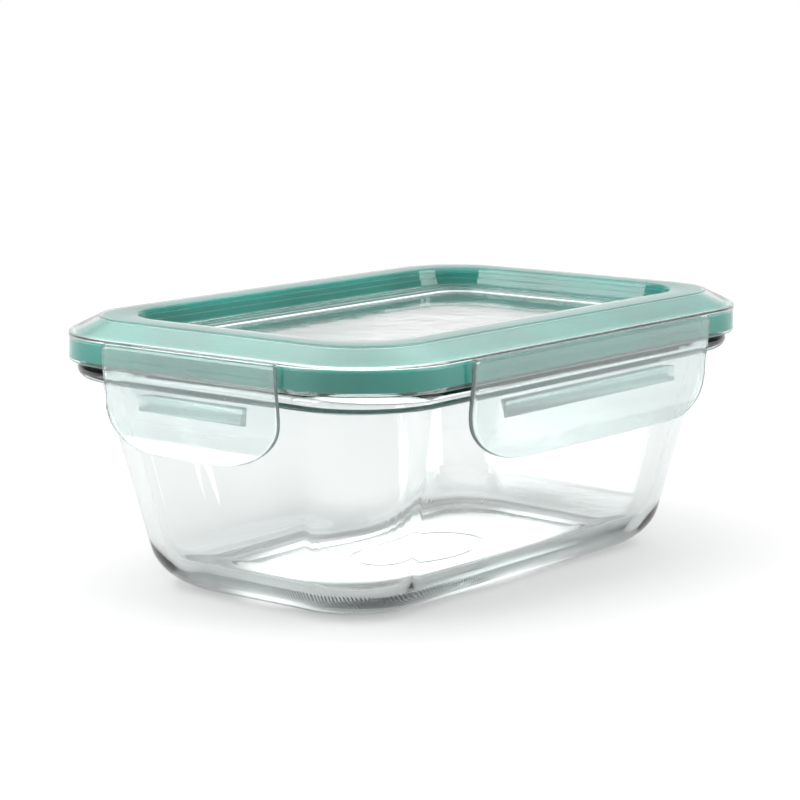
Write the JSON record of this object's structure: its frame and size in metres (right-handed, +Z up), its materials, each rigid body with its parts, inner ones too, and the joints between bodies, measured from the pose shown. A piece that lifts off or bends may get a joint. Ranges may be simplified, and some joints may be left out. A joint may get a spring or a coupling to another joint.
{
  "type": "glass food storage container",
  "caption": "Rectangular glass food container with a clear latching lid, a teal silicone seal under it and a broad hinged latch on every side.",
  "frame": {"origin": "centre of the outline, on the plane the dish stands on", "axes": "+Z up, +X along the long side, -Y towards the front latch"},
  "size_m": [0.2006, 0.1372, 0.0809],
  "materials": {
    "glass": "clear pressed glass, faint green",
    "clear_plastic": "clear glossy plastic",
    "teal_silicone": "teal silicone, satin",
    "latch_plastic": "clear glossy plastic"
  },
  "bodies": {
    "dish": {"glass_dish": "glass"},
    "lid": {"lid_shell": "clear_plastic", "seal_ring": "teal_silicone", "hinge_film_front": "latch_plastic", "hinge_film_back": "latch_plastic", "hinge_film_right": "latch_plastic", "hinge_film_left": "latch_plastic"},
    "latch_front": {"latch_front": "latch_plastic", "catch_rib_front": "latch_plastic"},
    "latch_back": {"latch_back": "latch_plastic", "catch_rib_back": "latch_plastic"},
    "latch_right": {"latch_right": "latch_plastic", "catch_rib_right": "latch_plastic"},
    "latch_left": {"latch_left": "latch_plastic", "catch_rib_left": "latch_plastic"}
  },
  "joints": [
    {"name": "lid_lift", "type": "slide", "parent": "dish", "child": "lid", "axis": [0, 0, 1], "range_m": [0, 0.08], "deforming": ["catch_rib_front", "catch_rib_back", "catch_rib_right", "catch_rib_left"]},
    {"name": "latch_front_hinge", "type": "hinge", "parent": "lid", "child": "latch_front", "pos_m": [0, -0.06725, 0.0758], "axis": [-1, 0, 0], "range_deg": [0, 120], "deforming": ["hinge_film_front"]},
    {"name": "latch_back_hinge", "type": "hinge", "parent": "lid", "child": "latch_back", "pos_m": [0, 0.06725, 0.0758], "axis": [1, 0, 0], "range_deg": [0, 120], "deforming": ["hinge_film_back"]},
    {"name": "latch_right_hinge", "type": "hinge", "parent": "lid", "child": "latch_right", "pos_m": [0.099, 0, 0.0758], "axis": [0, -1, 0], "range_deg": [0, 120], "deforming": ["hinge_film_right"]},
    {"name": "latch_left_hinge", "type": "hinge", "parent": "lid", "child": "latch_left", "pos_m": [-0.099, 0, 0.0758], "axis": [0, 1, 0], "range_deg": [0, 120], "deforming": ["hinge_film_left"]}
  ]
}
